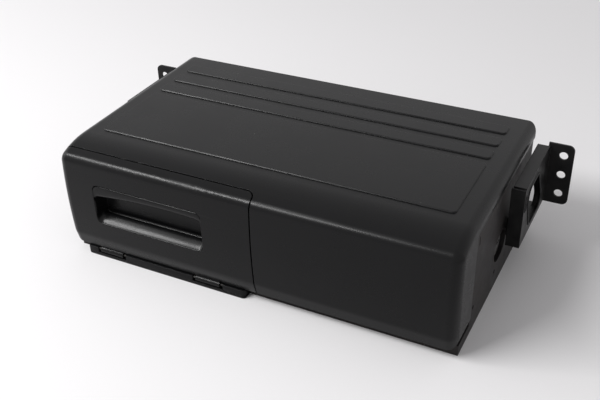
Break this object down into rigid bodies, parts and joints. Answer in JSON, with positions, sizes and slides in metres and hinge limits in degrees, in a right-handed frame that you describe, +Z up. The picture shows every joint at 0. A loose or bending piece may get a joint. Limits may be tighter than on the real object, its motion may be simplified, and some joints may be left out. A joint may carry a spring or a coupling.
{
  "type": "car cd changer",
  "caption": "Flat black car disc changer: hinged front door with finger pull, ejecting magazine of disc trays, lifting player deck and side mounting brackets.",
  "frame": {"origin": "bottom centre of the whole part's box", "axes": "+X to the right seen from the door side, +Y to the rear with the sockets, +Z up"},
  "size_m": [0.364, 0.1782, 0.092],
  "materials": {
    "cover_abs": "black moulded ABS, fine spark texture",
    "door_abs": "black moulded ABS, finer texture",
    "pull_abs": "black moulded ABS, smooth",
    "sill_abs": "black moulded ABS, semi-gloss",
    "chassis_paint": "matt black paint on pressed steel",
    "bracket_paint": "black electrocoat on pressed steel",
    "black_screw": "black zinc-plated steel",
    "zinc_sheet": "zinc-plated steel sheet",
    "ground_steel": "ground steel",
    "motor_can": "drawn steel can",
    "magazine_abs": "dark grey moulded ABS",
    "tray_pom": "dark grey acetal",
    "white_pom": "natural acetal",
    "circuit_board": "green solder mask on glass-fibre board",
    "chip_epoxy": "black epoxy",
    "capacitor_sleeve": "dark blue shrink sleeve",
    "damper_rubber": "soft butyl rubber",
    "socket_plastic": "black PBT",
    "socket_brass": "gilt brass",
    "lens_glass": "coated lens",
    "button_abs": "grey moulded ABS"
  },
  "bodies": {
    "case": {"top_cover": "cover_abs", "front_sill": "sill_abs", "hinge_pins": "ground_steel", "chassis_tray": "chassis_paint", "rear_panel": "chassis_paint", "bracket_right": "bracket_paint", "bracket_left": "bracket_paint", "bracket_screws": "black_screw", "rear_screws": "black_screw", "bay_frame": "magazine_abs", "bay_rail_left": "white_pom", "bay_rail_right": "white_pom", "bay_stop": "white_pom", "bay_shelf": "zinc_sheet", "main_board": "circuit_board", "board_chips": "chip_epoxy", "board_capacitors": "capacitor_sleeve", "eject_switch": "chip_epoxy", "data_socket": "socket_plastic", "audio_sockets": "socket_brass", "lift_frame": "zinc_sheet", "guide_rods": "ground_steel", "lift_motor": "motor_can", "dampers": "damper_rubber"},
    "door": {"magazine_door": "door_abs", "door_pull": "pull_abs"},
    "magazine": {"magazine_case": "magazine_abs"},
    "eject_key": {"eject_button": "button_abs"},
    "dial_left": {"tilt_dial_left": "white_pom"},
    "dial_right": {"tilt_dial_right": "white_pom"},
    "deck": {"deck_plate": "zinc_sheet", "clamp_pin": "ground_steel", "spindle_motor": "motor_can", "sled_holders": "white_pom", "sled_rods": "ground_steel", "sled_motor": "motor_can"},
    "lift_spindle": {"lift_screw": "ground_steel"},
    "disc_table": {"turntable": "chip_epoxy"},
    "clamp": {"clamp_arm": "zinc_sheet", "clamper": "white_pom"},
    "pickup": {"pickup_block": "magazine_abs", "pickup_lens": "lens_glass"},
    "sled_spindle": {"sled_screw": "ground_steel"},
    "disc_tray_01": {"tray_01": "tray_pom"},
    "disc_tray_02": {"tray_02": "tray_pom"},
    "disc_tray_03": {"tray_03": "tray_pom"},
    "disc_tray_04": {"tray_04": "tray_pom"},
    "disc_tray_05": {"tray_05": "tray_pom"},
    "disc_tray_06": {"tray_06": "tray_pom"},
    "disc_tray_07": {"tray_07": "tray_pom"},
    "disc_tray_08": {"tray_08": "tray_pom"},
    "disc_tray_09": {"tray_09": "tray_pom"},
    "disc_tray_10": {"tray_10": "tray_pom"}
  },
  "joints": [
    {"name": "door_swing", "type": "hinge", "parent": "case", "child": "door", "pos_m": [0, -0.0839, 0.0054], "axis": [1, 0, 0], "range_deg": [0, 85], "stiffness_Nm_per_rad": 0.03, "springref_deg": -20.05},
    {"name": "magazine_eject", "type": "slide", "parent": "case", "child": "magazine", "axis": [0, -1, 0], "range_m": [0, 0.018]},
    {"name": "eject_press", "type": "slide", "parent": "case", "child": "eject_key", "axis": [0, 1, 0], "range_m": [0, 0.003], "stiffness_N_per_m": 200},
    {"name": "dial_left_turn", "type": "hinge", "parent": "case", "child": "dial_left", "pos_m": [-0.1505, 0.0091, 0.032], "axis": [1, 0, 0], "range_deg": [0, 90]},
    {"name": "dial_right_turn", "type": "hinge", "parent": "case", "child": "dial_right", "pos_m": [0.1505, 0.0091, 0.032], "axis": [1, 0, 0], "range_deg": [0, 90]},
    {"name": "deck_lift", "type": "slide", "parent": "case", "child": "deck", "axis": [0, 0, -1], "range_m": [0, 0.059]},
    {"name": "lift_screw_turn", "type": "hinge", "parent": "case", "child": "lift_spindle", "pos_m": [0.1375, 0.0341, 0.04], "axis": [0, 0, 1], "range_deg": [0, 2700]},
    {"name": "spindle_spin", "type": "hinge", "parent": "deck", "child": "disc_table", "pos_m": [0.06, -0.0014, 0.072], "axis": [0, 0, 1], "continuous": true},
    {"name": "clamp_swing", "type": "hinge", "parent": "deck", "child": "clamp", "pos_m": [0.13, -0.0014, 0.078], "axis": [0, -1, 0], "range_deg": [0, 2], "stiffness_Nm_per_rad": 0.4, "springref_deg": -6.88},
    {"name": "sled_slide", "type": "slide", "parent": "deck", "child": "pickup", "axis": [0, -1, 0], "range_m": [0, 0.035]},
    {"name": "sled_screw_turn", "type": "hinge", "parent": "deck", "child": "sled_spindle", "pos_m": [0.084, -0.0459, 0.0656], "axis": [0, 1, 0], "range_deg": [0, 2600]},
    {"name": "tray_01_load", "type": "slide", "parent": "magazine", "child": "disc_tray_01", "axis": [-1, 0, 0], "range_m": [-0.132, 0]},
    {"name": "tray_02_load", "type": "slide", "parent": "magazine", "child": "disc_tray_02", "axis": [-1, 0, 0], "range_m": [-0.132, 0]},
    {"name": "tray_03_load", "type": "slide", "parent": "magazine", "child": "disc_tray_03", "axis": [-1, 0, 0], "range_m": [-0.132, 0]},
    {"name": "tray_04_load", "type": "slide", "parent": "magazine", "child": "disc_tray_04", "axis": [-1, 0, 0], "range_m": [-0.132, 0]},
    {"name": "tray_05_load", "type": "slide", "parent": "magazine", "child": "disc_tray_05", "axis": [-1, 0, 0], "range_m": [-0.132, 0]},
    {"name": "tray_06_load", "type": "slide", "parent": "magazine", "child": "disc_tray_06", "axis": [-1, 0, 0], "range_m": [-0.132, 0]},
    {"name": "tray_07_load", "type": "slide", "parent": "magazine", "child": "disc_tray_07", "axis": [-1, 0, 0], "range_m": [-0.132, 0]},
    {"name": "tray_08_load", "type": "slide", "parent": "magazine", "child": "disc_tray_08", "axis": [-1, 0, 0], "range_m": [-0.132, 0]},
    {"name": "tray_09_load", "type": "slide", "parent": "magazine", "child": "disc_tray_09", "axis": [-1, 0, 0], "range_m": [-0.132, 0]},
    {"name": "tray_10_load", "type": "slide", "parent": "magazine", "child": "disc_tray_10", "axis": [-1, 0, 0], "range_m": [-0.132, 0]}
  ],
  "couplings": [
    {"joint": "magazine_eject", "follows": "door_swing", "m_per_rad": 0.012},
    {"joint": "lift_screw_turn", "follows": "deck_lift", "rad_per_m": 785.4},
    {"joint": "sled_screw_turn", "follows": "sled_slide", "rad_per_m": 1256.6}
  ]
}
